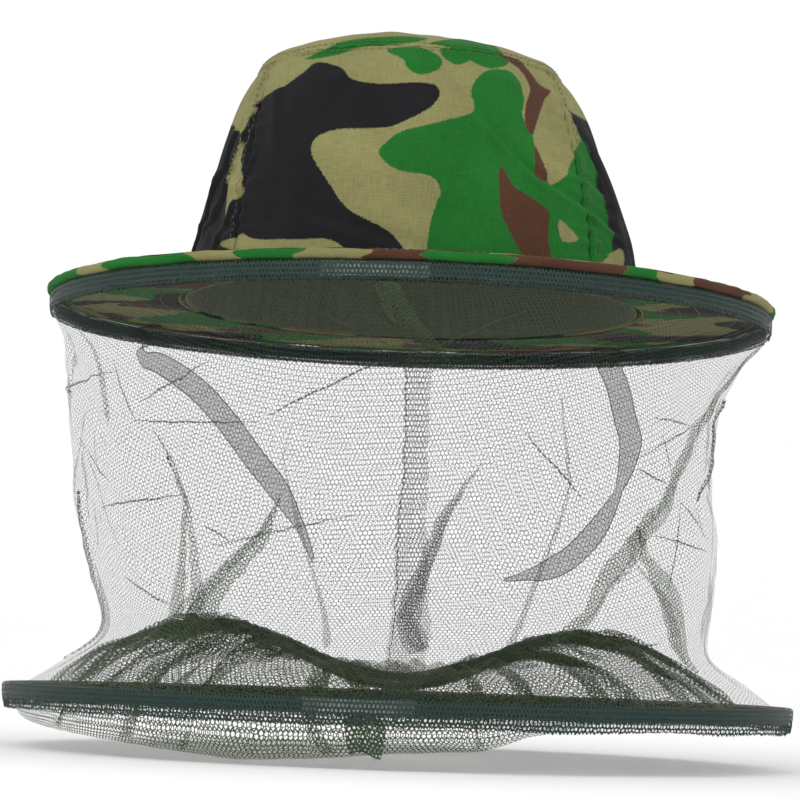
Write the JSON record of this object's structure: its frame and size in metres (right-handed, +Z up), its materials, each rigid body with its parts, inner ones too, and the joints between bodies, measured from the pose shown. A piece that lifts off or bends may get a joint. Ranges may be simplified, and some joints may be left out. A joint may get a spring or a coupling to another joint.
{
  "type": "insect net sun hat",
  "caption": "Wide-brim cotton sun hat with a drop-down mesh veil held open by two hoops and gathered at the neck.",
  "frame": {"origin": "centre of the head opening, on the underside of the brim", "axes": "+Z up through the crown, -Y towards the front of the hat, +X towards the wearer's left"},
  "size_m": [0.3652, 0.3654, 0.3263],
  "materials": {
    "camo_cloth": "woodland print cotton, plain weave, matte",
    "lining_tape": "olive cotton tape",
    "interlining": "stiff non-woven interlining",
    "teal_strip": "dark teal plastic strip, satin",
    "clear_sleeve": "clear flexible tube, glossy",
    "netting": "fine hexagonal net of dark thread",
    "net_hem": "folded and stitched layers of net",
    "sheer_tape": "thin sheer dark tape with tighter edges",
    "elastic": "braided round elastic"
  },
  "bodies": {
    "hat": {"crown_tip": "camo_cloth", "crown_front_panel": "camo_cloth", "crown_left_panel": "camo_cloth", "crown_back_panel": "camo_cloth", "crown_right_panel": "camo_cloth", "sweatband": "lining_tape", "brim_top_cloth": "camo_cloth", "brim_stiffener": "interlining", "brim_under_cloth": "camo_cloth", "brim_edge_binding": "camo_cloth", "upper_hoop": "teal_strip", "upper_hoop_connector": "clear_sleeve", "upper_net_channel": "net_hem", "veil_net": "netting", "veil_seam_strip": "netting", "tie_anchor_left": "net_hem", "tie_anchor_right": "net_hem", "tie_left": "sheer_tape", "tie_right": "sheer_tape"},
    "lower_ring": {"lower_hoop": "teal_strip", "lower_hoop_connector": "clear_sleeve", "lower_net_channel": "net_hem", "collar_net": "netting"},
    "neck_band": {"neck_casing": "net_hem", "neck_elastic": "elastic"}
  },
  "joints": [
    {"name": "veil_lift", "type": "slide", "parent": "hat", "child": "lower_ring", "axis": [0, 0, 1], "range_m": [0, 0.13], "deforming": ["veil_net", "veil_seam_strip", "tie_left", "tie_right"]},
    {"name": "neck_band_drop", "type": "slide", "parent": "lower_ring", "child": "neck_band", "axis": [0, 0, 1], "range_m": [-0.03, 0], "deforming": ["collar_net"]}
  ]
}
